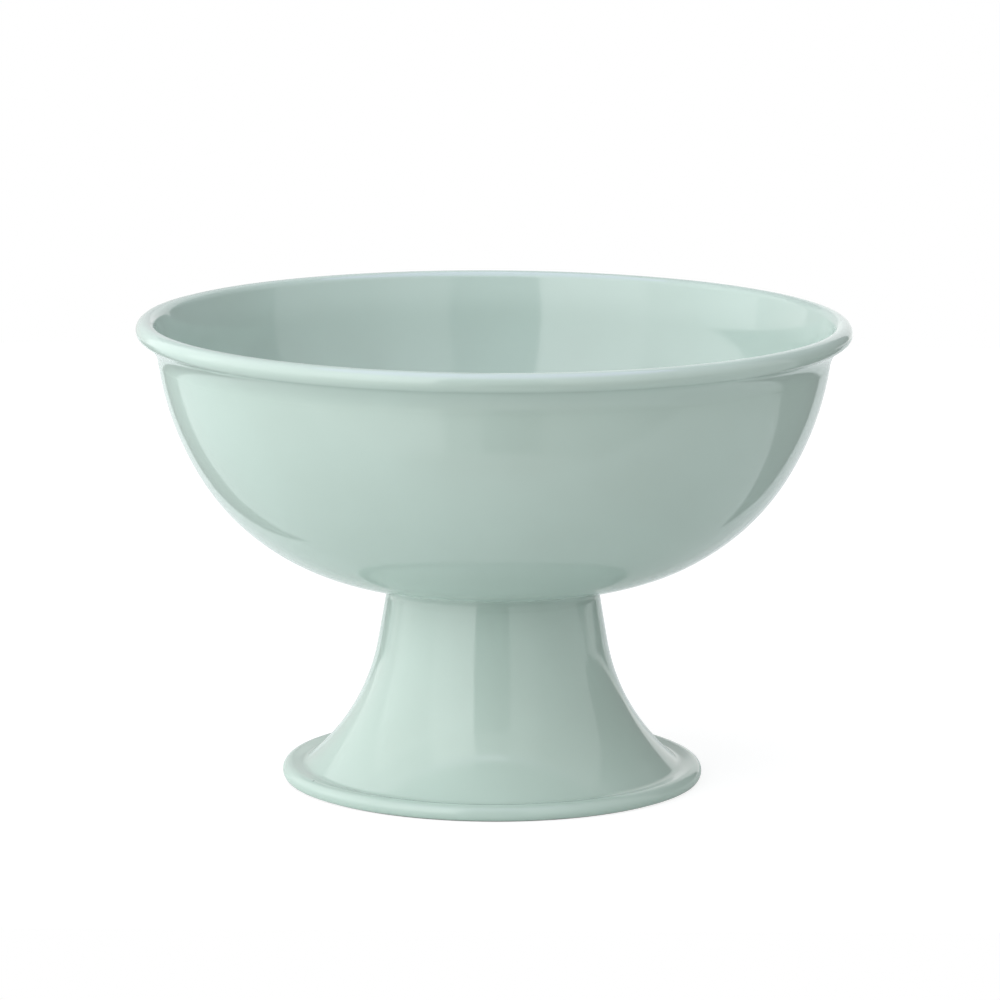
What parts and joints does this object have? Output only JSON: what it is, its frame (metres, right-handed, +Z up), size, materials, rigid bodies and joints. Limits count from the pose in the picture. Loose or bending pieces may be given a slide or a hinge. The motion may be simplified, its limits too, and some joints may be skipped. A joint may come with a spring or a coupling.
{
  "type": "ice cream cup",
  "caption": "Footed ice cream cup of enamelled sheet steel: a round bowl with a curled rim, welded onto a flared hollow foot, for serving ice cream or dessert.",
  "frame": {"origin": "centre of the standing edge, on the surface that the cup stands on", "axes": "+Z up along the axis of the cup; X and Y are alike, because the cup is round"},
  "size_m": [0.12, 0.12, 0.0782],
  "materials": {
    "sheet_steel": "plain pressed sheet steel, bare only at the wiped standing edge",
    "weld_steel": "resistance weld nuggets, closed in between the sheets",
    "mint_enamel": "glossy opaque pale mint vitreous enamel"
  },
  "bodies": {
    "root": {"bowl_shell": "sheet_steel", "foot_shell": "sheet_steel", "weld_spots": "weld_steel", "bowl_inside_enamel": "mint_enamel", "bowl_outside_enamel": "mint_enamel", "foot_outside_enamel": "mint_enamel", "foot_inside_enamel": "mint_enamel", "seam_enamel": "mint_enamel"}
  },
  "joints": []
}
